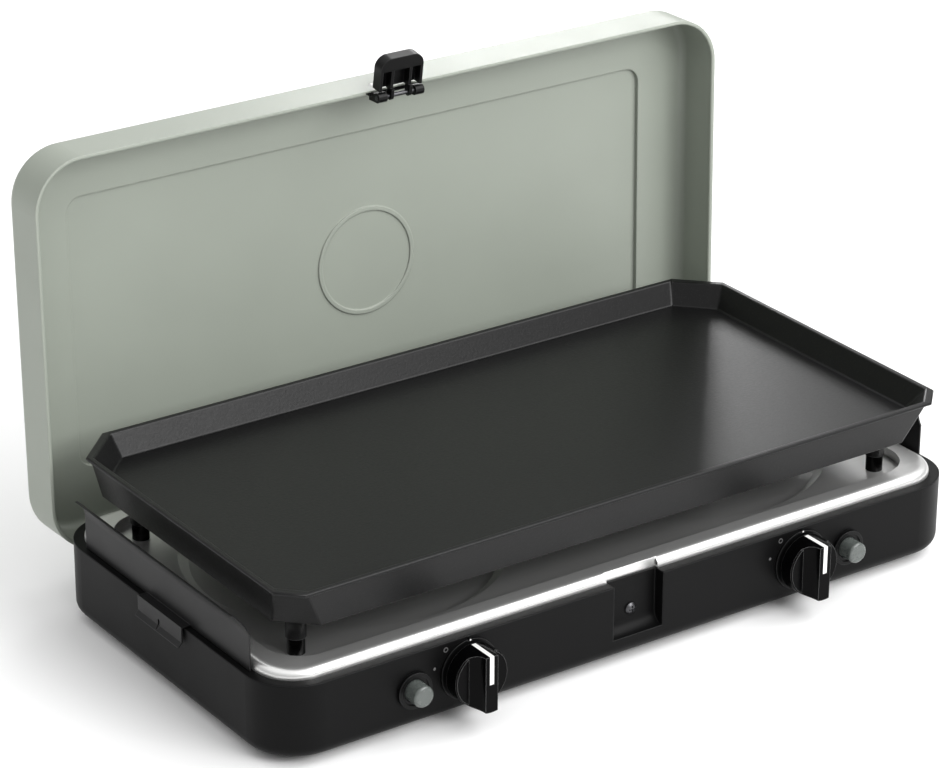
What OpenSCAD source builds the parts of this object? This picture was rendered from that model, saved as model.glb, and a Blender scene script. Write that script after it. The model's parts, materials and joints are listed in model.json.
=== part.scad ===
// Two-burner camping stove with a hinged lid, a griddle plate and two clip-on wind shields.
// The origin is the middle of the housing's underside, +Z is up and -Y is the control side.

/* [Housing] */
// Width of the housing, left to right
body_w = 530; // [524:1:540]
// Depth of the housing, front to back
body_d = 266; // [264:1:270]
// Height of the housing, underside to top ledge
body_h = 50; // [50:0.5:52]
// Corner radius of the housing seen from above
corner_r = 34; // [32:1:36]
// Radius of the rounded bottom edge
bottom_r = 8; // [6:0.5:9]
// Thickness of the housing's steel sheet
wall = 1.2; // [1:0.1:1.4]
// Width of the ledge around the top of the housing
ledge_w = 16; // [15:0.5:17]

/* [Hob] */
// How far the hob's edge stands in from the housing's outside
hob_inset = 7; // [6.5:0.5:7.5]
// Height of the hob's raised border above the ledge
border_h = 6.6; // [6:0.2:7]
// Width of the raised border
border_w = 14; // [13:0.5:14]
// Thickness of the hob's stainless sheet
sheet = 0.8; // [0.7:0.1:1]
// Radius of each burner dish
dish_r = 104; // [98:1:105]
// Depth of each burner dish
dish_deep = 5; // [4:0.5:6]
// Distance of each burner from the middle
burner_x = 129; // [127:1:131]

/* [Lid] */
// Depth of the lid, rim to top
lid_h = 35.7; // [34:0.5:38]
// Thickness of the lid's steel sheet
lid_t = 1; // [0.8:0.1:1.2]
// How far the lid stands open
open_angle = 91.2; // [90.5:0.1:93]
// Distance of the hinge axis in from the back of the housing
hinge_in = 10.7; // [10:0.1:11]
// Depth of the hinge axis below the housing's ledge
hinge_down = 10.9; // [10.8:0.1:11.4]
// Distance of each hinge from the middle
hinge_x = 165; // [150:1:175]
// Height of the pressed panel above the lid's top
panel_h = 3; // [2:0.5:4]
// Distance of the pressed panel in from the lid's edges
panel_inset = 39; // [36:1:42]

/* [Griddle] */
// Width of the griddle over its rim
griddle_w = 508; // [500:1:510]
// Depth of the griddle over its rim
griddle_d = 261; // [250:1:262]
// Height of the griddle's rim above the housing's underside
griddle_top = 108; // [104:1:112]
// Depth of the cooking surface below the rim
griddle_deep = 15.5; // [12:0.5:18]
// Height of the griddle's outer wall
griddle_wall_h = 29; // [28:0.5:32]
// How far the griddle's middle stands behind the housing's middle
griddle_back = 2.5; // [0:0.5:3]

/* [Controls] */
// Distance of each knob from the middle
knob_x = 129; // [127:1:131]
// Height of the knobs' axes
knob_z = 28.2; // [27.5:0.1:28.5]
// Radius of a knob's skirt
knob_r = 19; // [18:0.1:19.5]
// Distance of each igniter button from the middle
button_x = 168.4; // [167:0.2:170]
// Height of the igniter buttons' axes
button_z = 25.5; // [25:0.1:26]
// Radius of an igniter button
button_r = 7; // [6.5:0.1:7.2]

/* [Wind shields] */
// Length of each wind shield
shield_l = 196; // [180:1:200]
// Height of each wind shield above the ledge
shield_h = 34; // [30:1:36]

/* [Hidden] */
$fn = 72;
tiny = 0.01;

// Housing
front_y = -body_d / 2;
back_y = body_d / 2;
ledge_z = body_h;
foot_h = 5;
foot_r = 9;
foot_x = body_w / 2 - 50;
foot_y = body_d / 2 - 35;
drain_r = 4;

// Latch recess in the front of the housing
recess_w = 38;
recess_deep = 8.5;
recess_bottom = 13;
catch_z = 27;
catch_r = 4;

// Hob
hob_w = body_w - 2 * hob_inset;
hob_d = body_d - 2 * hob_inset;
hob_r = corner_r - hob_inset;
hob_edge_r = 5.5;
hob_floor = ledge_z;
jog_deep = 3;
well_r = 26;
dish_slope = 7;
dish_floor = hob_floor - dish_deep;
burner_y = 5;
burner_hole_r = 30.5;

// Burners
bowl_r = 30;
bowl_flange_r = 36;
bowl_bottom = 22;
bowl_wall = 3;
venturi_r = 8;
venturi_bore_r = 6.5;
venturi_mouth_y = -92;
cap_r = 26;
port_count = 24;
screw_pitch_r = 33.3;
screw_r = 2;

// Gas line
valve_back_y = front_y + 25;
valve_size = 20;
valve_outlet_y = front_y + 33;
spindle_r = 3;
running_gap = 0.05;
injector_end_y = venturi_mouth_y + 3;
pipe_r = 4;
pipe_y = front_y + 15;
pipe_z = 11;
inlet_x = 215;
inlet_z = 14;
spigot_r = 4;
spigot_l = 18;
inlet_hex_r = 8;

// Controls, measured outwards from the front of the housing
bezel_r = 20.2;
bezel_h = 2;
tick_h = 2.8;
skirt_back = 5;
skirt_front = 15.5;
blade_front = 25.5;
blade_half_w = 4.4;
blade_scoop_r = 12;
pointer_w = 3;
pointer_deep = 0.6;
igniter_r = 9;
igniter_l = 46;
igniter_flange_r = 11.8;
igniter_flange_h = 2.5;
button_out = 12.2;
button_in = 10;
button_gap = 0.4;
button_edge_r = 1.8;
electrode_out = 29;
electrode_r = 3;

// Lid, drawn closed and then turned about the hinge axis
hinge_y = back_y - hinge_in;
hinge_z = ledge_z - hinge_down;
rim_z = ledge_z + 0.5;
lid_edge_r = 6;
bead_r = 1.2;
emboss_r = 38;
emboss_w = 3;
emboss_h = 1;
pin_r = 2;
barrel_r = 3.6;
leaf_w = 24;
leaf_t = 1.5;
leaf_h = 24;
ear_gap = 0.5;
ear_t = 1.5;
notch_w = leaf_w + 4;
notch_bottom = 26;
leaf_y = back_y - lid_t - leaf_t;

// Latch
latch_y = front_y + 3.5;
latch_z = rim_z - 6;
latch_turn = 80;
flap_w = 33;
flap_l = 27;
flap_t = 8;
flap_skin = 2;
flap_start = 4.4;
latch_pin_r = 1.5;
knuckle_in = 11;
knuckle_out = 17.5;
knuckle_r = 3.4;
rib_x = 7;
rib_t = 2;

// Griddle
griddle_lip = 2;
griddle_lip_t = 2.6;
griddle_rim_t = 3.4;
griddle_flare = 7;
tray_inset = 11;
under_inset = 12.5;
griddle_floor = griddle_top - griddle_deep;
griddle_under = griddle_floor - 4;
griddle_low = griddle_top - griddle_wall_h;
front_cut_top = 14;
front_cut_low = 21;
back_cut_top = 26;
back_cut_low = 20;
leg_x = 225;
leg_y = 92;
leg_r = 6.4;
sleeve_r = 5.6;
sleeve_h = 11;

// Wind shields
shield_t = 1;
shield_x = body_w / 2 - 5;
shield_flare = 6.5;
shield_flare_h = 12;
shield_flare_r = 14.3;
shield_cut = 10;
hook_l = 52;
hook_drop = 12;
hook_y = -3;
hook_gap = 1.2;
hook_kick = 2.5;
shield_y = 1;

// ---------- Shared shapes ----------

// Sweeps an outline around a rounded rectangle: x runs outwards from the corner's centre and y is height
module rim_sweep(w, d, r) {
    for (k = [0:3]) {
        a = k % 2 == 0 ? w : d;
        b = k % 2 == 0 ? d : w;
        rotate([0, 0, 90 * k])
            translate([a / 2 - r, b / 2 - r, 0]) {
                rotate([90, 0, 0])
                    linear_extrude(b - 2 * r)
                        children();
                rotate_extrude(angle = 90)
                    children();
            }
    }
}

module rounded_rect(w, d, r) {
    square([w - 2 * r, d], center = true);
    square([w, d - 2 * r], center = true);
    for (sx = [-1, 1], sy = [-1, 1])
        translate([sx * (w / 2 - r), sy * (d / 2 - r)])
            circle(r);
}

// Solid tub with a rounded bottom edge, standing on z = 0
module tub(w, d, h, r, edge_r) {
    rim_sweep(w, d, r) {
        translate([0, edge_r])
            square([r, h - edge_r]);
        square([r - edge_r, h]);
        translate([r - edge_r, edge_r])
            circle(edge_r);
    }
    translate([r - w / 2, r - d / 2, 0])
        cube([w - 2 * r, d - 2 * r, h]);
}

// Extrudes an outline drawn in Y and Z over a width centred on x = 0
module along_x(width) {
    translate([-width / 2, 0, 0])
        rotate([90, 0, 90])
            linear_extrude(width)
                children();
}

// Puts a control, drawn along +Z, on the housing's front
module on_front(x, z) {
    translate([x, front_y, z])
        rotate([90, 0, 0])
            children();
}

module hollow_cylinder(h, outer_r, inner_r) {
    difference() {
        cylinder(h = h, r = outer_r);
        translate([0, 0, -1])
            cylinder(h = h + 2, r = inner_r);
    }
}

// Domed head of a screw or rivet with its top towards +Z
module domed_head(r, h) {
    rotate_extrude()
        intersection() {
            translate([0, h - r * 1.4])
                circle(r * 1.4);
            square([r, h]);
        }
}

module cross_slot(r, deep) {
    for (a = [0, 90])
        rotate([0, 0, a])
            translate([-r * 0.6, -r * 0.14, 0])
                cube([r * 1.2, r * 0.28, deep]);
}

module opened_lid() {
    translate([0, hinge_y, hinge_z])
        rotate([-open_angle, 0, 0])
            translate([0, -hinge_y, -hinge_z])
                children();
}

// ---------- Housing ----------

module recess_outline(grow) {
    curve_z = recess_bottom + recess_deep;
    translate([front_y - 1, curve_z])
        square([recess_deep + 1 + grow, ledge_z - curve_z + 1]);
    intersection() {
        translate([front_y, curve_z])
            circle(recess_deep + grow);
        translate([front_y, recess_bottom - grow])
            square([recess_deep + grow, recess_deep + grow]);
    }
    translate([front_y - 1, recess_bottom - grow])
        square([1, recess_deep + grow + tiny]);
}

module housing_holes() {
    translate([0, 0, -1])
        cylinder(h = wall + 2, r = drain_r);
    for (s = [-1, 1]) {
        on_front(s * knob_x, knob_z)
            translate([0, 0, -5])
                cylinder(h = 10, r = 6);
        on_front(s * button_x, button_z)
            translate([0, 0, -5])
                cylinder(h = 10, r = igniter_r + 0.2);
        translate([s * hinge_x - notch_w / 2, back_y - hob_inset + 0.5, notch_bottom])
            cube([notch_w, 10, body_h]);
        translate([s * hinge_x, 0, 0])
            base_rivet_places()
                cylinder(h = 10, r = screw_r, center = true);
    }
    translate([inlet_x, back_y, inlet_z])
        rotate([90, 0, 0])
            cylinder(h = 10, r = 6, center = true);
    on_front(0, catch_z)
        translate([0, 0, -20])
            cylinder(h = 20, r = 2);
}

module housing() color([0.07, 0.07, 0.075]) {
    difference() {
        union() {
            difference() {
                tub(body_w, body_d, body_h, corner_r, bottom_r);
                translate([0, 0, wall])
                    tub(body_w - 2 * wall, body_d - 2 * wall, body_h, corner_r - wall, bottom_r - wall);
            }
            translate([0, 0, ledge_z - wall])
                linear_extrude(wall)
                    difference() {
                        rounded_rect(body_w, body_d, corner_r);
                        rounded_rect(body_w - 2 * ledge_w, body_d - 2 * ledge_w, corner_r - ledge_w);
                    }
            intersection() {
                along_x(recess_w + 2 * wall)
                    recess_outline(wall);
                tub(body_w, body_d, body_h, corner_r, bottom_r);
            }
        }
        along_x(recess_w)
            recess_outline(0);
        housing_holes();
    }
}

module rubber_feet() color([0.05, 0.05, 0.05])
    for (sx = [-1, 1], sy = [-1, 1])
        translate([sx * foot_x, sy * foot_y, -foot_h])
            cylinder(h = foot_h, r1 = foot_r, r2 = foot_r + 1);

module latch_catch_screw() color([0.1, 0.1, 0.1])
    on_front(0, catch_z)
        translate([0, 0, -recess_deep]) {
            difference() {
                domed_head(catch_r, 2.6);
                translate([0, 0, 1.6])
                    cross_slot(catch_r, 2);
            }
            translate([0, 0, -8])
                cylinder(h = 8, r = 2);
        }

// ---------- Hob ----------

// Rolled outer edge of the hob's sheet
module hob_edge_outline() {
    translate([hob_r - sheet, 0])
        square([sheet, border_h - hob_edge_r]);
    translate([hob_r - hob_edge_r, border_h - hob_edge_r])
        intersection() {
            difference() {
                circle(hob_edge_r);
                circle(hob_edge_r - sheet);
            }
            square(hob_edge_r);
        }
}

module dish_outline() {
    low = dish_floor - sheet;
    slope_r = dish_r - dish_slope;
    polygon([
        [dish_r, hob_floor], [slope_r, dish_floor], [burner_hole_r, dish_floor],
        [burner_hole_r, low], [slope_r - 0.3, low], [dish_r - 0.3, hob_floor - sheet],
        [dish_r, hob_floor - sheet]
    ]);
}

module well_plan(grow) {
    rounded_rect(hob_w - 2 * border_w + 2 * grow, hob_d - 2 * border_w + 2 * grow, well_r + grow);
}

// Raised border, with a step back behind the latch recess
module hob_border() {
    jog_w = recess_w + 2;
    jog_y = front_y + hob_inset + jog_deep;
    difference() {
        union() {
            translate([0, 0, hob_floor])
                rim_sweep(hob_w, hob_d, hob_r)
                    hob_edge_outline();
            translate([0, 0, hob_floor + border_h - sheet])
                linear_extrude(sheet)
                    difference() {
                        rounded_rect(hob_w - 2 * hob_edge_r, hob_d - 2 * hob_edge_r, hob_r - hob_edge_r);
                        well_plan(0);
                    }
        }
        translate([-jog_w / 2, front_y, hob_floor - 1])
            cube([jog_w, hob_inset + jog_deep, border_h + 2]);
    }
    translate([-jog_w / 2 - sheet, jog_y, hob_floor])
        cube([jog_w + 2 * sheet, sheet, border_h]);
    for (s = [-1, 1])
        translate([s * (jog_w + sheet) / 2 - sheet / 2, jog_y - jog_deep, hob_floor])
            cube([sheet, jog_deep + sheet, border_h - hob_edge_r]);
}

module hob_well() {
    translate([0, 0, hob_floor - sheet])
        linear_extrude(border_h + sheet)
            difference() {
                well_plan(sheet);
                well_plan(0);
            }
    translate([0, 0, hob_floor - sheet])
        linear_extrude(sheet)
            difference() {
                well_plan(0);
                for (s = [-1, 1])
                    translate([s * burner_x, burner_y])
                        circle(dish_r);
            }
    for (s = [-1, 1])
        translate([s * burner_x, burner_y, 0])
            rotate_extrude()
                dish_outline();
}

module hob_top() color([0.78, 0.78, 0.77])
    difference() {
        union() {
            hob_border();
            hob_well();
        }
        for (s = [-1, 1])
            electrode_place(s)
                cylinder(h = ledge_z, r = electrode_r + 0.4);
        burner_screw_places()
            translate([0, 0, -5])
                cylinder(h = 10, r = screw_r);
    }

// ---------- Burners ----------

module burner_screw_places() {
    for (s = [-1, 1], a = [30, 150, 270])
        translate([s * burner_x, burner_y, dish_floor + 1.5])
            rotate([0, 0, a])
                translate([screw_pitch_r, 0, 0])
                    children();
}

module burner_bowl(s) color([0.62, 0.62, 0.63])
    difference() {
        union() {
            translate([s * burner_x, burner_y, bowl_bottom])
                cylinder(h = dish_floor - bowl_bottom, r = bowl_r);
            translate([s * burner_x, burner_y, dish_floor])
                cylinder(h = 1.5, r = bowl_flange_r);
            translate([s * burner_x, venturi_mouth_y, knob_z])
                rotate([-90, 0, 0])
                    cylinder(h = burner_y - venturi_mouth_y, r = venturi_r);
        }
        translate([s * burner_x, burner_y, bowl_bottom + bowl_wall])
            cylinder(h = 40, r = bowl_r - bowl_wall);
        translate([s * burner_x, venturi_mouth_y - 1, knob_z])
            rotate([-90, 0, 0])
                cylinder(h = burner_y - venturi_mouth_y, r = venturi_bore_r);
        burner_screw_places()
            translate([0, 0, -5])
                cylinder(h = 10, r = screw_r);
    }
module left_burner_bowl() burner_bowl(-1);
module right_burner_bowl() burner_bowl(1);

// The crown stands on the bowl's rim and its slots are the flame ports
module burner_cap(s) color([0.2, 0.2, 0.2])
    translate([s * burner_x, burner_y, dish_floor + 1.5]) {
        difference() {
            hollow_cylinder(7, bowl_r - 0.5, bowl_r - 4);
            for (i = [0:port_count - 1])
                rotate([0, 0, i * 360 / port_count])
                    translate([bowl_r - 6, -1, 3])
                        cube([8, 2, 5]);
        }
        translate([0, 0, 7]) {
            cylinder(h = 2, r = bowl_r);
            translate([0, 0, 2])
                cylinder(h = 1.5, r1 = bowl_r, r2 = cap_r);
        }
    }
module left_burner_cap() burner_cap(-1);
module right_burner_cap() burner_cap(1);

module burner_screws() color([0.7, 0.7, 0.7])
    burner_screw_places() {
        difference() {
            domed_head(2.8, 1.8);
            translate([0, 0, 1])
                cross_slot(2.8, 2);
        }
        translate([0, 0, -5])
            cylinder(h = 5, r = screw_r);
    }

module electrode_place(s) {
    translate([s * (burner_x + electrode_out), burner_y - electrode_out, 0])
        children();
}

module spark_electrode(s) color([0.9, 0.89, 0.85])
    electrode_place(s) {
        translate([0, 0, 34])
            cylinder(h = 17, r = electrode_r);
        translate([0, 0, dish_floor])
            hollow_cylinder(1.2, electrode_r + 1.4, electrode_r);
        translate([0, 0, 51])
            cylinder(h = 4, r = 0.8);
        translate([0, 0, 55])
            sphere(0.8);
        translate([0, 0, 55])
            rotate([90, 0, -135 * s])
                cylinder(h = 7, r = 0.8);
    }
module left_spark_electrode() spark_electrode(-1);
module right_spark_electrode() spark_electrode(1);

// ---------- Gas line ----------

module gas_valve(s) color([0.72, 0.6, 0.3])
    difference() {
        union() {
            translate([s * knob_x - valve_size / 2, front_y + wall + 1, knob_z - valve_size / 2])
                cube([valve_size, valve_back_y - front_y - wall - 1, valve_size]);
            translate([s * knob_x, valve_back_y, knob_z])
                rotate([-90, 0, 0])
                    cylinder(h = valve_outlet_y - valve_back_y, r = 6);
            on_front(s * knob_x, knob_z)
                translate([0, 0, -wall - 2])
                    cylinder(h = wall + 2.5, r = 5.6);
            translate([s * knob_x, pipe_y, pipe_z])
                cylinder(h = knob_z - pipe_z - valve_size / 2 + 1, r = 5);
        }
        on_front(s * knob_x, knob_z)
            translate([0, 0, -20])
                cylinder(h = 30, r = spindle_r + running_gap);
        translate([s * knob_x, 0, knob_z])
            rotate([90, 0, 0])
                cylinder(h = -valve_back_y + 2, r = 1.5);
        translate([0, pipe_y, pipe_z])
            rotate([0, 90, 0])
                cylinder(h = 2 * inlet_x, r = pipe_r, center = true);
    }
module left_gas_valve() gas_valve(-1);
module right_gas_valve() gas_valve(1);

module injector(s) color([0.8, 0.66, 0.3])
    translate([s * knob_x, valve_outlet_y, knob_z])
        rotate([-90, 0, 0])
            difference() {
                union() {
                    cylinder(h = 4, r = 5, $fn = 6);
                    cylinder(h = injector_end_y - valve_outlet_y, r = 3);
                }
                translate([0, 0, -1])
                    cylinder(h = 20, r = 0.6);
            }
module left_injector() injector(-1);
module right_injector() injector(1);

module gas_manifold() color([0.6, 0.6, 0.6])
    difference() {
        union() {
            translate([-knob_x - 8, pipe_y, pipe_z])
                rotate([0, 90, 0])
                    cylinder(h = knob_x + 8 + inlet_x, r = pipe_r);
            translate([inlet_x, pipe_y, pipe_z])
                sphere(pipe_r);
            translate([inlet_x, pipe_y, pipe_z])
                rotate([-90, 0, 0])
                    cylinder(h = back_y - 20 - pipe_y, r = pipe_r);
        }
        translate([-knob_x, pipe_y, pipe_z])
            rotate([0, 90, 0])
                cylinder(h = knob_x + inlet_x, r = pipe_r - 1);
    }

module gas_inlet() color([0.8, 0.66, 0.3])
    difference() {
        union() {
            translate([inlet_x - 7, back_y - 20, inlet_z - 6])
                cube([14, 20 - wall, 12]);
            translate([inlet_x, back_y - wall - 1, inlet_z])
                rotate([-90, 0, 0])
                    cylinder(h = wall + 1, r = 5.8);
            translate([inlet_x, back_y, inlet_z])
                rotate([-90, 0, 0])
                    cylinder(h = 4, r = inlet_hex_r, $fn = 6);
            translate([inlet_x, back_y + 4, inlet_z])
                rotate([-90, 0, 0])
                    cylinder(h = spigot_l, r = spigot_r);
        }
        translate([inlet_x, back_y - 10, inlet_z])
            rotate([-90, 0, 0])
                cylinder(h = 60, r = 2.2);
    }

// ---------- Controls ----------

module igniter_body(s) color([0.08, 0.08, 0.08])
    on_front(s * button_x, button_z)
        difference() {
            union() {
                translate([0, 0, -igniter_l])
                    cylinder(h = igniter_l, r = igniter_r);
                difference() {
                    cylinder(h = igniter_flange_h, r = igniter_flange_r);
                    translate([0, 0, igniter_flange_h - 1])
                        cylinder(h = 2, r = igniter_flange_r - 2.2);
                }
                translate([0, 0, -igniter_l - 5])
                    cylinder(h = 6, r = 2);
            }
            translate([0, 0, -button_in - 6])
                cylinder(h = 40, r = button_r + button_gap);
        }
module left_igniter_body() igniter_body(-1);
module right_igniter_body() igniter_body(1);

module igniter_button(s) color([0.5, 0.53, 0.52])
    on_front(s * button_x, button_z)
        rotate_extrude()
            difference() {
                union() {
                    translate([0, -button_in])
                        square([button_r, button_in + button_out - button_edge_r]);
                    translate([0, button_out - button_edge_r - 1])
                        square([button_r - button_edge_r, button_edge_r + 1]);
                    translate([button_r - button_edge_r, button_out - button_edge_r])
                        circle(button_edge_r);
                }
                translate([-button_r - 2, -button_in - 1])
                    square([button_r + 2, 2 * button_out + button_in]);
            }
module left_igniter_button() igniter_button(-1);
module right_igniter_button() igniter_button(1);

// Points of the ring that stands square to the route at point i
function unit(v) = v / norm(v);
function route_dir(route, i) =
    unit(route[min(i + 1, len(route) - 1)] - route[max(i - 1, 0)]);
function route_ring(route, i, r, sides) =
    let (t = route_dir(route, i), u = unit(cross(t, [0, 0, 1])), v = cross(u, t))
    [for (k = [0:sides - 1]) route[i] + r * (cos(360 * k / sides) * u + sin(360 * k / sides) * v)];

module tube_along(route, r) {
    sides = 8;
    last = len(route) - 1;
    points = [for (i = [0:last]) each route_ring(route, i, r, sides)];
    skin = [for (i = [0:last - 1], k = [0:sides - 1])
        let (n = (k + 1) % sides)
        [i * sides + k, (i + 1) * sides + k, (i + 1) * sides + n, i * sides + n]];
    start_cap = [[for (k = [0:sides - 1]) k]];
    end_cap = [[for (k = [sides - 1:-1:0]) last * sides + k]];
    polyhedron(points, concat(start_cap, skin, end_cap));
}

// High-voltage lead, from the back of the igniter to the foot of the electrode
module ignition_lead(s) color([0.15, 0.15, 0.15]) {
    ex = burner_x + electrode_out;
    ey = burner_y - electrode_out;
    tube_along([
        [s * button_x, front_y + igniter_l + 5, button_z],
        [s * button_x, -75, 25], [s * 169, -66, 23], [s * 168, -56, 20], [s * 165, -46, 18],
        [s * 162, -38, 17], [s * 159, -31, 19], [s * ex, -26, 24], [s * ex, ey, 30], [s * ex, ey + 0.4, 34]
    ], 1.2);
}
module left_ignition_lead() ignition_lead(-1);
module right_ignition_lead() ignition_lead(1);

module knob_bezel(s) color([0.06, 0.06, 0.06])
    on_front(s * knob_x, knob_z) {
        hollow_cylinder(bezel_h, bezel_r, knob_r - 6);
        translate([0, knob_r + 0.4, 0])
            linear_extrude(tick_h)
                polygon([[-1.8, 0], [1.8, 0], [0, 2.2]]);
    }
module left_knob_bezel() knob_bezel(-1);
module right_knob_bezel() knob_bezel(1);

module spindle_washer(s) color([0.7, 0.7, 0.7])
    on_front(s * knob_x, knob_z)
        translate([0, 0, 0.7])
            hollow_cylinder(1.2, 5.5, spindle_r + running_gap);
module left_spindle_washer() spindle_washer(-1);
module right_spindle_washer() spindle_washer(1);

module spindle(s) color([0.75, 0.62, 0.3])
    on_front(s * knob_x, knob_z)
        translate([0, 0, -16])
            cylinder(h = 16 + skirt_front - 3, r = spindle_r);
module left_spindle() spindle(-1);
module right_spindle() spindle(1);

module pointer_slot(deep) {
    translate([-pointer_w / 2, knob_r - deep, skirt_back + 1])
        cube([pointer_w, deep + 1, blade_front]);
    translate([-pointer_w / 2, 0, blade_front - deep])
        cube([pointer_w, knob_r + 1, deep + 1]);
}

module knob_form() {
    translate([0, 0, skirt_back])
        cylinder(h = skirt_front - skirt_back - 1, r = knob_r);
    translate([0, 0, skirt_front - 1])
        cylinder(h = 1, r1 = knob_r, r2 = knob_r - 0.8);
    intersection() {
        translate([0, 0, skirt_back])
            cylinder(h = blade_front - skirt_back, r = knob_r);
        rotate([90, 0, 0])
            translate([0, 0, -knob_r])
                linear_extrude(2 * knob_r)
                    difference() {
                        translate([-knob_r, skirt_front - 2])
                            square([2 * knob_r, blade_front - skirt_front + 2]);
                        for (side = [-1, 1])
                            translate([side * (blade_half_w + blade_scoop_r), blade_front])
                                circle(blade_scoop_r);
                        for (side = [-1, 1])
                            translate([side * (knob_r + blade_half_w + blade_scoop_r * 0.6), blade_front])
                                square([2 * knob_r, 4 * blade_scoop_r], center = true);
                    }
    }
}

module knob(s) color([0.05, 0.05, 0.05])
    on_front(s * knob_x, knob_z)
        difference() {
            knob_form();
            pointer_slot(pointer_deep);
            translate([0, 0, skirt_back - 1])
                difference() {
                    cylinder(h = skirt_front - skirt_back - 1.5, r = knob_r - 2);
                    cylinder(h = skirt_front, r = 6);
                }
            translate([0, 0, skirt_back - 1])
                cylinder(h = skirt_front - skirt_back - 2, r = spindle_r);
        }
module left_knob() knob(-1);
module right_knob() knob(1);

module knob_pointer(s) color([0.95, 0.95, 0.95])
    on_front(s * knob_x, knob_z)
        intersection() {
            pointer_slot(pointer_deep);
            cylinder(h = blade_front, r = knob_r, $fn = 360);
        }
module left_knob_pointer() knob_pointer(-1);
module right_knob_pointer() knob_pointer(1);

// ---------- Hinges ----------

module base_hinge_brackets() color([0.6, 0.6, 0.6])
    for (s = [-1, 1])
        translate([s * hinge_x, 0, 0])
            difference() {
                union() {
                    for (side = [-1, 1])
                        translate([side * (leaf_w / 2 + ear_gap + ear_t / 2), 0, 0])
                            along_x(ear_t) {
                                polygon([
                                    [back_y - wall, 10], [back_y - wall, notch_bottom - 1],
                                    [hinge_y + 4, hinge_z + 2], [hinge_y - 4, hinge_z - 2], [hinge_y, 10]
                                ]);
                                translate([hinge_y, hinge_z])
                                    circle(4.5);
                            }
                    translate([-leaf_w / 2 - ear_gap - ear_t, back_y - wall - ear_t, 10])
                        cube([leaf_w + 2 * ear_gap + 2 * ear_t, ear_t, notch_bottom - 11]);
                }
                translate([-leaf_w, hinge_y, hinge_z])
                    rotate([0, 90, 0])
                        cylinder(h = 2 * leaf_w, r = pin_r);
                base_rivet_places()
                    cylinder(h = 10, r = screw_r, center = true);
            }

module base_rivet_places() {
    for (side = [-1, 1])
        translate([side * 8, back_y, 17])
            rotate([-90, 0, 0])
                children();
}

module base_hinge_rivets() color([0.7, 0.7, 0.7])
    for (s = [-1, 1])
        translate([s * hinge_x, 0, 0])
            base_rivet_places()
                translate([0, 0, -wall - ear_t]) {
                    cylinder(h = ear_t + wall, r = screw_r);
                    rotate([180, 0, 0])
                        domed_head(3.2, 1.2);
                    translate([0, 0, ear_t + wall])
                        domed_head(3.2, 1);
                }

module hinge_pins() color([0.75, 0.75, 0.75])
    for (s = [-1, 1])
        translate([s * hinge_x, hinge_y, hinge_z])
            rotate([0, 90, 0]) {
                half = leaf_w / 2 + ear_gap + ear_t;
                cylinder(h = 2 * half, r = pin_r, center = true);
                for (side = [-1, 1])
                    translate([0, 0, side * (half + 0.6)])
                        cylinder(h = 1.2, r = 3.2, center = true);
            }

module lid_hinge_leaves() color([0.6, 0.6, 0.6])
    opened_lid()
        for (s = [-1, 1])
            translate([s * hinge_x, 0, 0])
                difference() {
                    along_x(leaf_w) {
                        translate([hinge_y, hinge_z])
                            circle(barrel_r);
                        polygon([
                            [hinge_y + 1, hinge_z - 1.5], [back_y - lid_t, rim_z - 2.8],
                            [back_y - lid_t, rim_z + leaf_h], [leaf_y, rim_z + leaf_h],
                            [leaf_y, rim_z - 1.6], [hinge_y - 1, hinge_z + 2.4]
                        ]);
                    }
                    translate([-leaf_w, hinge_y, hinge_z])
                        rotate([0, 90, 0])
                            cylinder(h = 2 * leaf_w, r = pin_r + running_gap);
                    leaf_rivet_places()
                        cylinder(h = 10, r = screw_r, center = true);
                }

module leaf_rivet_places() {
    for (side = [-1, 1])
        translate([side * 6, back_y, rim_z + 15])
            rotate([-90, 0, 0])
                children();
}

module lid_hinge_rivets() color([0.7, 0.7, 0.7])
    opened_lid()
        for (s = [-1, 1])
            translate([s * hinge_x, 0, 0])
                leaf_rivet_places()
                    translate([0, 0, -lid_t - leaf_t]) {
                        cylinder(h = leaf_t + lid_t, r = screw_r);
                        rotate([180, 0, 0])
                            domed_head(3.2, 1.2);
                        translate([0, 0, lid_t + leaf_t])
                            domed_head(3.2, 1);
                    }

// ---------- Lid ----------

module lid_solid(shrink) {
    mirror([0, 0, 1])
        tub(body_w - 2 * shrink, body_d - 2 * shrink, lid_h, corner_r - shrink, lid_edge_r - shrink);
}

// Rolled bead along the lid's rim, left out at the hinges and at the latch
module lid_rim_bead() {
    difference() {
        rim_sweep(body_w, body_d, corner_r)
            translate([corner_r - bead_r - 0.2, bead_r])
                circle(bead_r);
        for (s = [-1, 1])
            translate([s * hinge_x, back_y, 0])
                cube([notch_w, 20, 10], center = true);
        translate([0, front_y, 0])
            cube([recess_w + 6, 20, 10], center = true);
    }
}

// Hollow of the lid, with the pressed panel stepped out of its top
module lid_hollow(panel_t) {
    translate([0, 0, lid_h - lid_t])
        lid_solid(lid_t);
    translate([0, 0, lid_h - lid_t - 1])
        linear_extrude(panel_h + 1)
            rounded_rect(body_w - 2 * panel_inset - panel_t, body_d - 2 * panel_inset - panel_t, 11);
}

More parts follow.
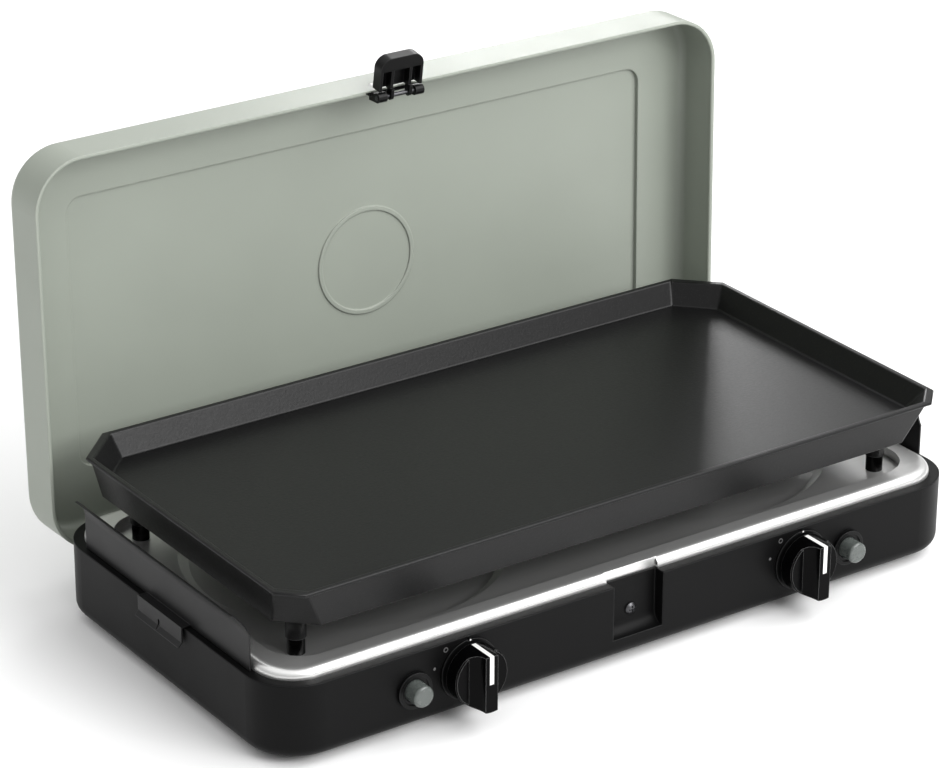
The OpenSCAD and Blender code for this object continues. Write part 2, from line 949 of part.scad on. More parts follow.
module lid_shell() color([0.62, 0.66, 0.6])
    opened_lid()
        difference() {
            translate([0, 0, rim_z]) {
                difference() {
                    union() {
                        translate([0, 0, lid_h])
                            lid_solid(0);
                        translate([0, 0, lid_h - 1])
                            linear_extrude(panel_h + 1)
                                rounded_rect(body_w - 2 * panel_inset, body_d - 2 * panel_inset, 12);
                    }
                    lid_hollow(2 * lid_t);
                    translate([0, 0, -1])
                        cube([body_w + 10, body_d + 10, 2], center = true);
                }
                lid_rim_bead();
                translate([0, 0, lid_h + panel_h - lid_t - emboss_h])
                    hollow_cylinder(emboss_h + lid_t / 2, emboss_r, emboss_r - emboss_w);
            }
            for (s = [-1, 1])
                translate([s * hinge_x, 0, 0])
                    leaf_rivet_places()
                        cylinder(h = 10, r = screw_r, center = true);
            latch_rivet_places()
                cylinder(h = 10, r = screw_r, center = true);
        }

// ---------- Latch ----------

module latch_rivet_places() {
    for (side = [-1, 1])
        translate([side * 11, front_y, rim_z + 10])
            rotate([90, 0, 0])
                children();
}

module latch_bracket() color([0.06, 0.06, 0.06])
    opened_lid()
        difference() {
            union() {
                translate([-19, front_y + lid_t, rim_z])
                    cube([38, 2.5, 17]);
                for (side = [-1, 1])
                    translate([side * (knuckle_in + knuckle_out) / 2, 0, 0])
                        along_x(knuckle_out - knuckle_in) {
                            translate([latch_y, latch_z])
                                circle(knuckle_r);
                            translate([front_y + lid_t, latch_z])
                                square([2.5 + knuckle_r, rim_z - latch_z + 3]);
                        }
            }
            translate([-30, latch_y, latch_z])
                rotate([0, 90, 0])
                    cylinder(h = 60, r = latch_pin_r);
            latch_rivet_places()
                cylinder(h = 10, r = screw_r, center = true);
        }

module latch_rivets() color([0.6, 0.6, 0.6])
    opened_lid()
        latch_rivet_places()
            translate([0, 0, -lid_t - 2.5]) {
                cylinder(h = lid_t + 2.5, r = screw_r);
                rotate([180, 0, 0])
                    domed_head(3, 1);
                translate([0, 0, lid_t + 2.5])
                    domed_head(3, 0.8);
            }

module latch_pin() color([0.4, 0.4, 0.4])
    opened_lid()
        translate([0, latch_y, latch_z])
            rotate([0, 90, 0])
                cylinder(h = 2 * knuckle_out + 1, r = latch_pin_r, center = true);

// Drawn hanging from its pin, and then swung out from the lid's front
module latch_flap() color([0.05, 0.05, 0.05])
    opened_lid()
        translate([0, latch_y, latch_z])
            rotate([-latch_turn, 0, 0])
                difference() {
                    union() {
                        translate([0, 1, 0])
                            rotate([90, 0, 0])
                                linear_extrude(flap_t)
                                    difference() {
                                        translate([0, -flap_l])
                                            flap_outline();
                                        translate([-flap_w, -flap_start])
                                            square([2 * flap_w, flap_l]);
                                    }
                        for (side = [-1, 1])
                            translate([side * rib_x, 0, 0])
                                along_x(rib_t) {
                                    circle(latch_pin_r + 1.4);
                                    translate([-latch_pin_r - 1.4, -flap_start - 1])
                                        square([2 * latch_pin_r + 2.8, flap_start + 1]);
                                }
                    }
                    for (side = [-1, 0, 1])
                        flap_pocket(side);
                    translate([-20, 0, 0])
                        rotate([0, 90, 0])
                            cylinder(h = 40, r = latch_pin_r + running_gap);
                }

module flap_outline() {
    tip_r = 8;
    translate([-flap_w / 2, tip_r])
        square([flap_w, flap_l]);
    translate([tip_r - flap_w / 2, 0])
        square([flap_w - 2 * tip_r, tip_r + 1]);
    for (side = [-1, 1])
        translate([side * (flap_w / 2 - tip_r), tip_r])
            circle(tip_r);
}

module flap_pocket(side) {
    half = flap_w / 2 - 2;
    inner = rib_x + rib_t / 2;
    low_x = side == 0 ? -rib_x + rib_t / 2 : (side > 0 ? inner : -half);
    wide = side == 0 ? 2 * rib_x - rib_t : half - inner;
    translate([low_x, 1 - flap_t + flap_skin, -flap_l + 9])
        cube([wide, flap_t, flap_l]);
}

// ---------- Griddle ----------

// Corners of a rectangle whose front and back corners are cut off at 45 degrees, at height z
function cut_corners(w, d, front_cut, back_cut, z) = [
    [-w / 2, -d / 2 + front_cut, z], [-w / 2 + front_cut, -d / 2, z],
    [w / 2 - front_cut, -d / 2, z], [w / 2, -d / 2 + front_cut, z],
    [w / 2, d / 2 - back_cut, z], [w / 2 - back_cut, d / 2, z],
    [-w / 2 + back_cut, d / 2, z], [-w / 2, d / 2 - back_cut, z]
];

function mix(low, high, share) = low + (high - low) * share;

// Section of the griddle's wall at height z, inset from the rim's outer edge
function griddle_section(z, inset) =
    let (rise = (z - griddle_low) / griddle_wall_h)
    cut_corners(
        griddle_w - 2 * inset, griddle_d - 2 * inset,
        mix(front_cut_low, front_cut_top, rise), mix(back_cut_low, back_cut_top, rise), z
    );

// Flared block from a section at low_z up to one at high_z
module flared_block(low_z, low_inset, high_z, high_inset) {
    sides = 8;
    points = concat(griddle_section(low_z, low_inset), griddle_section(high_z, high_inset));
    walls = [for (k = [0:sides - 1]) [k, sides + k, sides + (k + 1) % sides, (k + 1) % sides]];
    bottom = [[for (k = [0:sides - 1]) k]];
    top = [[for (k = [sides - 1:-1:0]) sides + k]];
    polyhedron(points, concat(bottom, walls, top));
}

module griddle_legs() {
    for (sx = [-1, 1], sy = [-1, 1])
        translate([sx * leg_x, sy * leg_y, 0])
            children();
}

module griddle_plate() color([0.12, 0.12, 0.12]) {
    translate([0, griddle_back, 0])
        difference() {
            union() {
                flared_block(griddle_low, griddle_lip + griddle_flare, griddle_top - 1, griddle_lip);
                translate([0, 0, griddle_top - griddle_lip_t])
                    linear_extrude(griddle_lip_t)
                        polygon([for (p = griddle_section(griddle_top, 0)) [p[0], p[1]]]);
            }
            flared_block(griddle_floor, tray_inset, griddle_top + 1, griddle_rim_t);
            flared_block(griddle_low - 1, under_inset, griddle_under, under_inset + 2);
        }
    griddle_legs()
        translate([0, 0, ledge_z + sleeve_h])
            cylinder(h = griddle_under + 1 - ledge_z - sleeve_h, r = leg_r);
}

module griddle_foot_sleeves() color([0.04, 0.04, 0.04])
    griddle_legs()
        translate([0, 0, ledge_z])
            cylinder(h = sleeve_h, r = sleeve_r);

// ---------- Wind shields ----------

// Sheet section of the shield at the left of the hob, in X and Z
module shield_outline() {
    flare_z = ledge_z + shield_h - shield_flare_h;
    translate([-shield_t / 2, ledge_z + 0.2])
        square([shield_t, flare_z - ledge_z - 0.2]);
    intersection() {
        translate([-shield_flare_r, flare_z])
            difference() {
                circle(shield_flare_r + shield_t / 2);
                circle(shield_flare_r - shield_t / 2);
            }
        translate([-shield_flare - 2, flare_z])
            square([shield_flare + 4, shield_flare_h]);
    }
}

// Strap over the housing's edge, with its lower end kicked outwards
module hook_outline() {
    outer_x = -(body_w / 2 - shield_x) - hook_gap - shield_t;
    low_z = ledge_z - hook_drop;
    kick_z = low_z + 3;
    translate([outer_x, ledge_z + 0.2])
        square([-outer_x, shield_t]);
    translate([outer_x, kick_z])
        square([shield_t, ledge_z + 0.5 - kick_z]);
    polygon([
        [outer_x, kick_z + 0.1], [outer_x + shield_t, kick_z + 0.1],
        [outer_x + shield_t - hook_kick, low_z], [outer_x - hook_kick, low_z]
    ]);
}

module wind_shield() color([0.1, 0.1, 0.1])
    difference() {
        translate([-shield_x, shield_y, 0]) {
            difference() {
                translate([0, shield_l / 2, 0])
                    rotate([90, 0, 0])
                        linear_extrude(shield_l)
                            shield_outline();
                translate([0, -shield_l / 2, ledge_z + shield_h])
                    rotate([45, 0, 0])
                        cube([4 * shield_flare, 1.42 * shield_cut, 1.42 * shield_cut], center = true);
            }
            translate([0, hook_y - shield_y + hook_l / 2, 0])
                rotate([90, 0, 0])
                    linear_extrude(hook_l)
                        hook_outline();
        }
        translate([-body_w / 2, hook_y + 1, ledge_z - 8])
            rotate([0, -90, 0])
                linear_extrude(10) {
                    square([4, 2.4], center = true);
                    for (end = [-2, 2])
                        translate([end, 0])
                            circle(1.2);
                }
    }
module left_wind_shield() wind_shield();
module right_wind_shield() mirror([1, 0, 0]) wind_shield();

// ---------- Nodes ----------

housing();
rubber_feet();
hob_top();
latch_catch_screw();
left_burner_bowl();
right_burner_bowl();
left_burner_cap();
right_burner_cap();
burner_screws();
left_gas_valve();
right_gas_valve();
left_injector();
right_injector();
gas_manifold();
gas_inlet();
left_igniter_body();
right_igniter_body();
left_ignition_lead();
right_ignition_lead();
left_spark_electrode();
right_spark_electrode();
left_knob_bezel();
right_knob_bezel();
left_spindle_washer();
right_spindle_washer();
left_spindle();
right_spindle();
left_knob();
right_knob();
left_knob_pointer();
right_knob_pointer();
left_igniter_button();
right_igniter_button();
base_hinge_brackets();
base_hinge_rivets();
hinge_pins();
lid_shell();
lid_hinge_leaves();
lid_hinge_rivets();
latch_bracket();
latch_rivets();
latch_pin();
latch_flap();
griddle_plate();
griddle_foot_sleeves();
left_wind_shield();
right_wind_shield();
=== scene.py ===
"""Looks of the two-burner camping stove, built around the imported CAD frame."""
import json
import math

import bmesh
import bpy
from mathutils import Matrix, Vector


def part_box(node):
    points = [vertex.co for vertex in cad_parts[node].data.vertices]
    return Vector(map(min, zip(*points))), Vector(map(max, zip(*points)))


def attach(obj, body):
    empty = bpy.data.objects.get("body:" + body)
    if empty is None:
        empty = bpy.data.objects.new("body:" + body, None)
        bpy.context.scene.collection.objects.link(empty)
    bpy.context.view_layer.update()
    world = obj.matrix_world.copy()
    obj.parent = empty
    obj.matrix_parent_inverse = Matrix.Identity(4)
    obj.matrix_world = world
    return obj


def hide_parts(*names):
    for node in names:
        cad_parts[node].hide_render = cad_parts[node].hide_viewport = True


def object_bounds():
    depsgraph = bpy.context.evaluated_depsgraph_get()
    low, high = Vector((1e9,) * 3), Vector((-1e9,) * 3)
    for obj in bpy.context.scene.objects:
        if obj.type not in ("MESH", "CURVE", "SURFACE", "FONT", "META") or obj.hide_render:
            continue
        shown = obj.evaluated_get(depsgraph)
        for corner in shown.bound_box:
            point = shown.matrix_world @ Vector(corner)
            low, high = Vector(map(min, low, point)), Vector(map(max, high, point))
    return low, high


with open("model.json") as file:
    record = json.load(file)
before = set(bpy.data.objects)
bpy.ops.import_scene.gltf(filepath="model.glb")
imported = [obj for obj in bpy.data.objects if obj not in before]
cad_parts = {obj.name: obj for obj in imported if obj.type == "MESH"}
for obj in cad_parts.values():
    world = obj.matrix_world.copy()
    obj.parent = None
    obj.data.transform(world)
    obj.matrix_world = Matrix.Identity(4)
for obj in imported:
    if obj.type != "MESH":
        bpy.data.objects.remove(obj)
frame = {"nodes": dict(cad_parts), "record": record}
CAD_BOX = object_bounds()
NODES = frame["nodes"]

# ---------- Camera ----------

SENSOR_WIDTH = 36.0
FOCAL_LENGTH = 138.35
CAMERA_PLACE = Vector((-1.2357, -1.7258, 1.0874))
CAMERA_AIM = Vector((0.52338, 0.74990, -0.40462))
CAMERA_ROLL = math.radians(0.28)
SHIFT_X = -0.0010526
SHIFT_Y = -0.0221053


def make_camera():
    """The photograph's viewpoint, found by fitting the stove's straight edges."""
    data = bpy.data.cameras.new("camera")
    data.lens = FOCAL_LENGTH
    data.sensor_width = SENSOR_WIDTH
    data.shift_x = SHIFT_X
    data.shift_y = SHIFT_Y
    data.clip_end = 20
    camera = bpy.data.objects.new("camera", data)
    bpy.context.scene.collection.objects.link(camera)
    turn = CAMERA_AIM.to_track_quat("-Z", "Y").to_matrix().to_4x4()
    roll = Matrix.Rotation(CAMERA_ROLL, 4, "Z")
    camera.matrix_world = Matrix.Translation(CAMERA_PLACE) @ turn @ roll
    bpy.context.scene.camera = camera


# ---------- Node helpers ----------

BEVEL_SAMPLES = 6


def new_material(name):
    """A new material, with its node tree and its shader."""
    material = bpy.data.materials.new(name)
    material.use_nodes = True
    return material, material.node_tree, material.node_tree.nodes["Principled BSDF"]


def add(tree, kind, **values):
    """Adds a node; each keyword is an attribute of the node, or else one of its inputs."""
    node = tree.nodes.new(kind)
    for key, value in values.items():
        if hasattr(node, key):
            setattr(node, key, value)
        else:
            node.inputs[key.replace("_", " ")].default_value = value
    return node


def object_points(tree, stretch=(1, 1, 1)):
    """Object coordinates, stretched along each axis."""
    coordinates = tree.nodes.new("ShaderNodeTexCoord")
    mapping = tree.nodes.new("ShaderNodeMapping")
    mapping.inputs["Scale"].default_value = stretch
    tree.links.new(coordinates.outputs["Object"], mapping.inputs["Vector"])
    return mapping.outputs["Vector"]


def noise(tree, points, scale, detail=4.0, roughness=0.55):
    """Noise from 0 to 1 over the points."""
    node = add(tree, "ShaderNodeTexNoise", Scale=scale, Detail=detail, Roughness=roughness)
    tree.links.new(points, node.inputs["Vector"])
    return node.outputs["Fac"]


def ramp(tree, value, stops):
    """Colour ramp; stops are (position, colour), and a number stands for a grey."""
    node = tree.nodes.new("ShaderNodeValToRGB")
    elements = node.color_ramp.elements
    while len(elements) < len(stops):
        elements.new(0.5)
    for element, (position, colour) in zip(elements, stops):
        element.position = position
        grey = isinstance(colour, (int, float))
        element.color = (colour, colour, colour, 1) if grey else (*colour, 1)
    tree.links.new(value, node.inputs["Fac"])
    return node.outputs["Color"]


def scaled(tree, value, low, high):
    """Takes a value from 0 to 1 to the range low to high."""
    node = add(tree, "ShaderNodeMapRange")
    node.inputs["To Min"].default_value = low
    node.inputs["To Max"].default_value = high
    tree.links.new(value, node.inputs["Value"])
    return node.outputs["Result"]


def times(colour, factor):
    """The colour made darker or lighter, and never brighter than 1."""
    return tuple(min(channel * factor, 1) for channel in colour)


def mixed(tree, share, low, high):
    """Blends two colours by share; each is a colour or a socket."""
    node = add(tree, "ShaderNodeMix", data_type="RGBA")
    tree.links.new(share, node.inputs["Factor"])
    for name, colour in (("A", low), ("B", high)):
        socket = [s for s in node.inputs if s.name == name and s.type == "RGBA"][0]
        if isinstance(colour, tuple):
            socket.default_value = (*colour, 1)
        else:
            tree.links.new(colour, socket)
    return [s for s in node.outputs if s.type == "RGBA"][0]


def bumped(tree, shader, height, strength, distance, edge_radius=0.0):
    """Relief from a height, over edges that catch the light as if rounded to edge_radius."""
    node = add(tree, "ShaderNodeBump", Strength=strength, Distance=distance)
    tree.links.new(height, node.inputs["Height"])
    if edge_radius:
        rounded = add(tree, "ShaderNodeBevel", samples=BEVEL_SAMPLES, Radius=edge_radius)
        tree.links.new(rounded.outputs["Normal"], node.inputs["Normal"])
    tree.links.new(node.outputs["Normal"], shader.inputs["Normal"])


def painted_edge_highlight(tree, radius):
    """Mask for painted edge highlights: 1 within radius of a sharp edge and 0 elsewhere, where the rounded
    normal leaves the flat one.
    """
    rounded = add(tree, "ShaderNodeBevel", samples=BEVEL_SAMPLES, Radius=radius)
    geometry = tree.nodes.new("ShaderNodeNewGeometry")
    agreement = add(tree, "ShaderNodeVectorMath", operation="DOT_PRODUCT")
    tree.links.new(rounded.outputs["Normal"], agreement.inputs[0])
    tree.links.new(geometry.outputs["Normal"], agreement.inputs[1])
    return ramp(tree, agreement.outputs["Value"], [(0.90, 1.0), (0.985, 0.0)])


# ---------- Materials ----------

# Widths of the painted highlight lines along sharp edges.
EDGE_LINE = 0.00035
GRIDDLE_EDGE_LINE = 0.0009


def powder_coat(name, colour, edge, roughness, gloss=0.5, edge_radius=0.0008, grain=900, bump=0.10):
    """Satin powder coat: fine orange peel, faint cloudiness, and a painted highlight of paler colour along
    sharp edges.
    """
    material, tree, shader = new_material(name)
    points = object_points(tree)
    tint = mixed(tree, noise(tree, points, 9, 3), times(colour, 0.92), times(colour, 1.06))
    # Sharp edges take the edge colour: a painted highlight line.
    edge_highlighted = mixed(tree, painted_edge_highlight(tree, EDGE_LINE), tint, edge)
    tree.links.new(edge_highlighted, shader.inputs["Base Color"])
    smudges = noise(tree, points, 35, 5, 0.6)
    tree.links.new(scaled(tree, smudges, roughness - 0.06, roughness + 0.06), shader.inputs["Roughness"])
    shader.inputs["Specular IOR Level"].default_value = gloss
    bumped(tree, shader, noise(tree, points, grain, 2), bump, 0.0002, edge_radius)
    return material


def moulded_plastic(name, colour, roughness, gloss=0.3, highlight_lift=0.02, edge_radius=0.0005, grain=1600):
    """Moulded plastic: fine spark texture, with a painted highlight of paler colour along sharp edges."""
    material, tree, shader = new_material(name)
    points = object_points(tree)
    tint = mixed(tree, noise(tree, points, 60, 3), colour, times(colour, 1.35))
    # edge is the painted highlight colour, a little paler than the base colour.
    edge = tuple(min(channel + highlight_lift, 1) for channel in colour)
    edge_highlighted = mixed(tree, painted_edge_highlight(tree, EDGE_LINE), tint, edge)
    tree.links.new(edge_highlighted, shader.inputs["Base Color"])
    handled = noise(tree, points, 140, 4)
    tree.links.new(scaled(tree, handled, roughness - 0.07, roughness + 0.07), shader.inputs["Roughness"])
    shader.inputs["Specular IOR Level"].default_value = gloss
    bumped(tree, shader, noise(tree, points, grain, 2), 0.15, 0.0001, edge_radius)
    return material


def brushed_steel(name, colour, roughness, streak=(2.5, 260, 260)):
    """Stainless sheet brushed along X."""
    material, tree, shader = new_material(name)
    points = object_points(tree, streak)
    lines = noise(tree, points, 5, 8, 0.7)
    patches = noise(tree, object_points(tree), 12, 3)
    tree.links.new(mixed(tree, lines, times(colour, 0.86), colour), shader.inputs["Base Color"])
    shader.inputs["Metallic"].default_value = 0.82
    shader.inputs["Anisotropic"].default_value = 0.3
    both = add(tree, "ShaderNodeMath", operation="MULTIPLY")
    tree.links.new(lines, both.inputs[0])
    tree.links.new(patches, both.inputs[1])
    dull = scaled(tree, both.outputs["Value"], roughness - 0.08, roughness + 0.28)
    tree.links.new(dull, shader.inputs["Roughness"])
    bumped(tree, shader, lines, 0.12, 0.0001, 0.0006)
    return material


def polished_metal(name, colour, roughness, grain=220):
    """Plated or machined metal with fine scuffs."""
    material, tree, shader = new_material(name)
    points = object_points(tree)
    scuffs = noise(tree, points, grain, 6, 0.65)
    tree.links.new(mixed(tree, scuffs, times(colour, 0.8), colour), shader.inputs["Base Color"])
    shader.inputs["Metallic"].default_value = 1.0
    tree.links.new(scaled(tree, scuffs, roughness - 0.08, roughness + 0.16), shader.inputs["Roughness"])
    bumped(tree, shader, scuffs, 0.08, 0.0001)
    return material


def nonstick_coating():
    """Dark coating with fine pale and grey flecks, a pebbled surface, and a painted highlight of paler
    colour along the rim edges.
    """
    material, tree, shader = new_material("nonstick_coating")
    points = object_points(tree)
    flecks = add(tree, "ShaderNodeTexVoronoi", Scale=620.0)
    tree.links.new(points, flecks.inputs["Vector"])
    speck = ramp(tree, flecks.outputs["Distance"], [(0.10, 1.0), (0.24, 0.0)])
    base = mixed(tree, noise(tree, points, 7, 3), (0.0032, 0.0032, 0.0033), (0.0046, 0.0046, 0.0047))
    flecked = mixed(tree, speck, base, (0.016, 0.016, 0.0164))
    # The rim edges take a paler grey: a painted highlight line.
    edge_highlighted = mixed(tree, painted_edge_highlight(tree, GRIDDLE_EDGE_LINE), flecked, (0.050, 0.050, 0.051))
    tree.links.new(edge_highlighted, shader.inputs["Base Color"])
    tree.links.new(scaled(tree, noise(tree, points, 420, 4), 0.26, 0.42), shader.inputs["Roughness"])
    shader.inputs["Specular IOR Level"].default_value = 0.24
    bumped(tree, shader, noise(tree, points, 520, 3), 0.22, 0.0003)
    return material


def smoked_plastic():
    """Smoked grey push button, slightly see-through at its rim."""
    material, tree, shader = new_material("smoked_plastic")
    points = object_points(tree)
    tint = mixed(tree, noise(tree, points, 40, 3), (0.074, 0.084, 0.079), (0.100, 0.112, 0.105))
    tree.links.new(tint, shader.inputs["Base Color"])
    tree.links.new(scaled(tree, noise(tree, points, 300, 4), 0.20, 0.34), shader.inputs["Roughness"])
    shader.inputs["Subsurface Weight"].default_value = 0.35
    shader.inputs["Subsurface Radius"].default_value = (0.004, 0.004, 0.004)
    shader.inputs["Coat Weight"].default_value = 0.35
    bumped(tree, shader, noise(tree, points, 700, 2), 0.05, 0.0001, 0.0005)
    return material


def printed_mark(name, colour):
    """Pad-printed ink, a little uneven."""
    material, tree, shader = new_material(name)
    points = object_points(tree)
    tint = mixed(tree, noise(tree, points, 200, 4), times(colour, 0.88), colour)
    tree.links.new(tint, shader.inputs["Base Color"])
    tree.links.new(scaled(tree, noise(tree, points, 500, 3), 0.30, 0.45), shader.inputs["Roughness"])
    bumped(tree, shader, noise(tree, points, 900, 2), 0.05, 0.0001)
    return material


def pale_floor():
    """Studio floor, faintly uneven."""
    material, tree, shader = new_material("pale_floor")
    points = object_points(tree)
    tint = mixed(tree, noise(tree, points, 2, 2), (0.90, 0.90, 0.90), (0.93, 0.93, 0.93))
    tree.links.new(tint, shader.inputs["Base Color"])
    shader.inputs["Roughness"].default_value = 0.7
    return material


# The second colour of each powder coat, and the lift after roughness and gloss of each plastic, are
# painted highlights on sharp edges.
BLACK_COAT = powder_coat("black_coat", (0.0026, 0.0026, 0.0027), (0.040, 0.040, 0.041), 0.44, 0.11, 0.0016)
SHIELD_COAT = powder_coat("shield_coat", (0.010, 0.010, 0.0104), (0.060, 0.060, 0.060), 0.42, 0.25, 0.0006)
GREEN_COAT = powder_coat(
    "green_coat", (0.296, 0.322, 0.278), (0.50, 0.52, 0.47), 0.42, 0.45, 0.0012, 700, 0.12
)
STEEL = brushed_steel("stainless_sheet", (0.82, 0.82, 0.81), 0.32)
PLATED = polished_metal("plated_steel", (0.62, 0.62, 0.61), 0.32)
DARK_METAL = polished_metal("dark_plated_steel", (0.10, 0.10, 0.105), 0.34)
RIVET = polished_metal("rivet_metal", (0.72, 0.72, 0.71), 0.30)
BRASS = polished_metal("brass", (0.78, 0.58, 0.27), 0.28)
CAST = polished_metal("cast_aluminium", (0.60, 0.60, 0.61), 0.48, 500)
ENAMEL = powder_coat("enamel", (0.008, 0.008, 0.008), (0.03, 0.03, 0.03), 0.55, 0.3)
BLACK_PLASTIC = moulded_plastic("black_plastic", (0.0024, 0.0024, 0.0025), 0.34, 0.16, 0.05)
KNOB_PLASTIC = moulded_plastic("knob_plastic", (0.0010, 0.0010, 0.0011), 0.20, 0.06, 0.22)
LATCH_PLASTIC = moulded_plastic("latch_plastic", (0.0024, 0.0024, 0.0025), 0.32, 0.18, 0.04)
SLEEVE = moulded_plastic("silicone_sleeve", (0.0008, 0.0008, 0.0008), 0.16, 0.12, 0.02)
RUBBER = moulded_plastic("foot_rubber", (0.006, 0.006, 0.006), 0.65)
LEAD = moulded_plastic("lead_sleeve", (0.02, 0.02, 0.02), 0.5)
CERAMIC = moulded_plastic("ceramic", (0.75, 0.73, 0.68), 0.25)
NONSTICK = nonstick_coating()
SMOKED = smoked_plastic()
WHITE = printed_mark("printed_white", (0.86, 0.86, 0.84))
GREY_PRINT = printed_mark("printed_grey", (0.10, 0.10, 0.10))

SLOT_MATERIALS = {
    "black_powder_coat": BLACK_COAT,
    "shield_coat": SHIELD_COAT,
    "green_paint": GREEN_COAT,
    "stainless_steel": STEEL,
    "nonstick": NONSTICK,
    "foot_sleeve": SLEEVE,
    "rubber": RUBBER,
    "black_screw": DARK_METAL,
    "cast_aluminium": CAST,
    "enamel": ENAMEL,
    "plated_steel": PLATED,
    "rivet": RIVET,
    "brass": BRASS,
    "black_plastic": BLACK_PLASTIC,
    "knob_plastic": KNOB_PLASTIC,
    "white_mark": WHITE,
    "grey_button": SMOKED,
    "latch_plastic": LATCH_PLASTIC,
    "latch_pin_metal": DARK_METAL,
    "lead_sleeve": LEAD,
    "ceramic": CERAMIC,
}


def dress_cad_nodes():
    """Gives each CAD node the material of its slot in the record."""
    for part in frame["record"]["subparts"]:
        node = NODES[part["node"]]
        material = SLOT_MATERIALS[part["material_slot"]]
        if not node.material_slots:
            node.data.materials.append(material)
        for slot in node.material_slots:
            slot.material = material


# ---------- Pieces made here ----------

GRIDDLE_ROUNDING = 0.0011
SHARP_ANGLE = math.radians(20)
INK_THICKNESS = 0.00006
OFF_RING = (0.0017, 0.0011)
FLAME_DOT = (0.0010, 0)
TICK_DOT = (0.0006, 0)
OFF_MARK = Vector((-0.0160, 0, 0.0170))
FLAME_MARK = Vector((-0.0242, 0, 0.0065))
TICK_DOT_DOWN = 0.0013


def link_piece(name, mesh, body, material):
    """Puts a mesh into the scene as a piece that rides on a body."""
    piece = bpy.data.objects.new(name, mesh)
    bpy.context.scene.collection.objects.link(piece)
    mesh.materials.append(material)
    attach(piece, body)
    return piece


def softened(name, node, width, body, material):
    """The CAD node's shape with its long sharp edges rounded to width; it stands for the node."""
    form = bmesh.new()
    form.from_mesh(NODES[node].data)
    bmesh.ops.remove_doubles(form, verts=form.verts, dist=1e-5)
    bmesh.ops.dissolve_limit(form, angle_limit=math.radians(1), verts=form.verts, edges=form.edges)
    sharp = [
        edge for edge in form.edges
        if edge.is_manifold and edge.calc_length() > 4 * width
        and edge.calc_face_angle(0) > SHARP_ANGLE
    ]
    bmesh.ops.bevel(
        form, geom=sharp, offset=width, segments=3, profile=0.5, affect="EDGES", clamp_overlap=True
    )
    for face in form.faces:
        face.smooth = True
    mesh = bpy.data.meshes.new(name)
    form.to_mesh(mesh)
    form.free()
    mesh.set_sharp_from_angle(angle=math.radians(35))
    piece = link_piece(name, mesh, body, material)
    normals = piece.modifiers.new("even_normals", "WEIGHTED_NORMAL")
    normals.keep_sharp = True
    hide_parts(node)


def circle_of_verts(form, centre, radius, depth, steps=40):
    """A circle of vertices facing the front, depth in front of the centre."""
    angles = [math.tau * k / steps for k in range(steps)]
    return [
        form.verts.new(centre + Vector((radius * math.cos(a), -depth, radius * math.sin(a))))
        for a in angles
    ]


def printed_ring(name, centre, radii, body, material):
    """A thin printed ring facing the front; radii are its outer and inner ones, and a dot's inner is 0."""
    outer, inner = radii
    outline = [(outer, 0), (outer * 0.96, INK_THICKNESS)]
    if inner:
        outline += [(inner * 1.04, INK_THICKNESS), (inner, 0)]
    form = bmesh.new()
    rows = [circle_of_verts(form, centre, radius, depth) for radius, depth in outline]
    if not inner:
        form.faces.new(rows[-1])
    for near, far in zip(rows, rows[1:]):
        for k in range(len(near)):
            form.faces.new((near[k - 1], near[k], far[k], far[k - 1]))
    bmesh.ops.recalc_face_normals(form, faces=form.faces)
    mesh = bpy.data.meshes.new(name)
    form.to_mesh(mesh)
    form.free()
    link_piece(name, mesh, body, material)


def make_marks():
    """Printed off ring and flame dot beside each knob, and the dot on each bezel's tick."""
    for side in ("left", "right"):
        low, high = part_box(f"{side}_knob_bezel")
        knob_low, knob_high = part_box(f"{side}_knob")
        axis = Vector(((low.x + high.x) / 2, high.y, (knob_low.z + knob_high.z) / 2))
        tick = Vector((axis.x, low.y, high.z - TICK_DOT_DOWN))
        printed_ring(f"{side}_off_mark", axis + OFF_MARK, OFF_RING, "base", GREY_PRINT)
        printed_ring(f"{side}_flame_mark", axis + FLAME_MARK, FLAME_DOT, "base", GREY_PRINT)
        printed_ring(f"{side}_tick_dot", tick, TICK_DOT, "base", WHITE)


# ---------- Floor and light ----------

HORIZON = 0.48
ZENITH = 1.15
FLOOR_REACH = 12

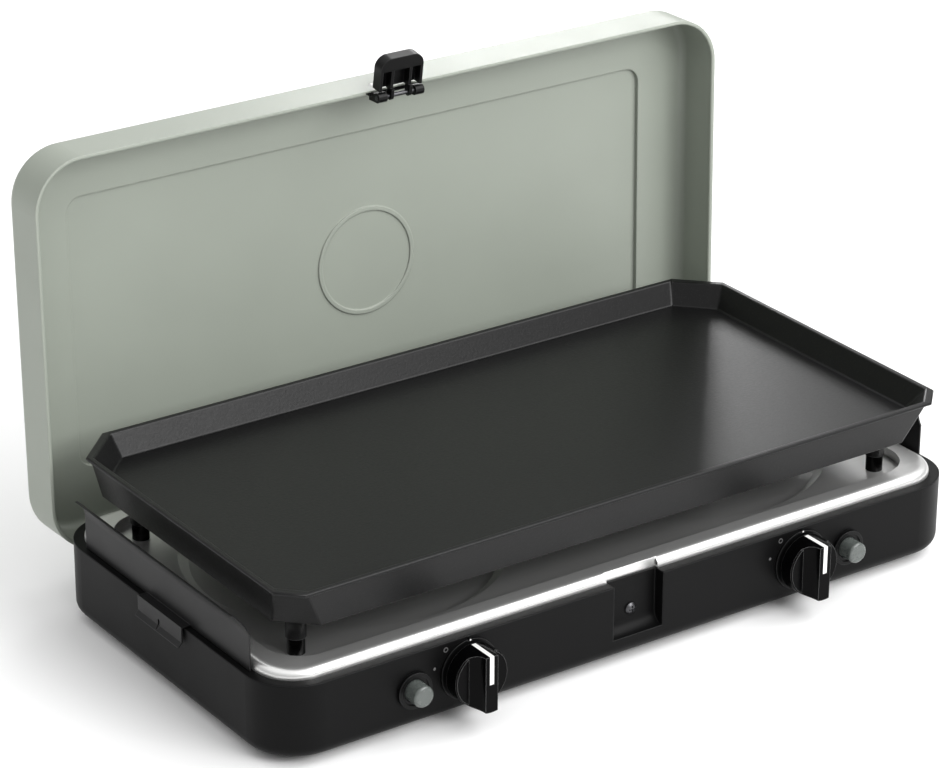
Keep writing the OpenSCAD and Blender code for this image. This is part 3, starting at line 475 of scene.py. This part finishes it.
# Each light's place and aim in metres, its size in metres and its power in watts.
LIGHTS = {
    "key": ((1.15, -0.85, 1.65), (0, 0, 0.1), (1.4, 1.2), 20),
    "front": ((0.7, -2.6, 1.7), (0.1, 0.1, 0.25), (1.6, 1.2), 62),
    "back_right": ((1.24, 1.75, 0.99), (0.1, 0, 0.1), (0.55, 0.6), 9),
}


def make_floor():
    """A wide floor at the lowest point of the stove's feet."""
    low = CAD_BOX[0][2]
    signs = ((-1, -1), (1, -1), (1, 1), (-1, 1))
    corners = [(FLOOR_REACH * x, FLOOR_REACH * y, low) for x, y in signs]
    mesh = bpy.data.meshes.new("floor")
    mesh.from_pydata(corners, [], [(0, 1, 2, 3)])
    floor = bpy.data.objects.new("floor", mesh)
    floor.data.materials.append(pale_floor())
    bpy.context.scene.collection.objects.link(floor)


def area_light(name, place, aim, size, watts):
    """A rectangular soft light turned towards aim."""
    data = bpy.data.lights.new(name, "AREA")
    data.shape = "RECTANGLE"
    data.size, data.size_y = size
    data.energy = watts
    light = bpy.data.objects.new(name, data)
    bpy.context.scene.collection.objects.link(light)
    turn = (Vector(aim) - Vector(place)).to_track_quat("-Z", "Y").to_matrix().to_4x4()
    light.matrix_world = Matrix.Translation(place) @ turn


def make_light():
    """A studio that is grey low down and white overhead, with its soft lights."""
    world = bpy.data.worlds.new("studio")
    world.use_nodes = True
    tree = world.node_tree
    background = tree.nodes["Background"]
    direction = tree.nodes.new("ShaderNodeTexCoord")
    split = tree.nodes.new("ShaderNodeSeparateXYZ")
    tree.links.new(direction.outputs["Generated"], split.inputs["Vector"])
    sky = ramp(tree, split.outputs["Z"], [(0.30, HORIZON), (0.75, ZENITH)])
    tree.links.new(sky, background.inputs["Color"])
    background.inputs["Strength"].default_value = 1.0
    bpy.context.scene.world = world
    for name, (place, aim, size, watts) in LIGHTS.items():
        area_light(name, place, aim, size, watts)
    # The Standard transform keeps the photograph's contrast and its white background.
    bpy.context.scene.view_settings.view_transform = "Standard"


make_camera()
dress_cad_nodes()
softened("griddle_plate_soft", "griddle_plate", GRIDDLE_ROUNDING, "griddle", NONSTICK)
make_marks()
make_floor()
make_light()
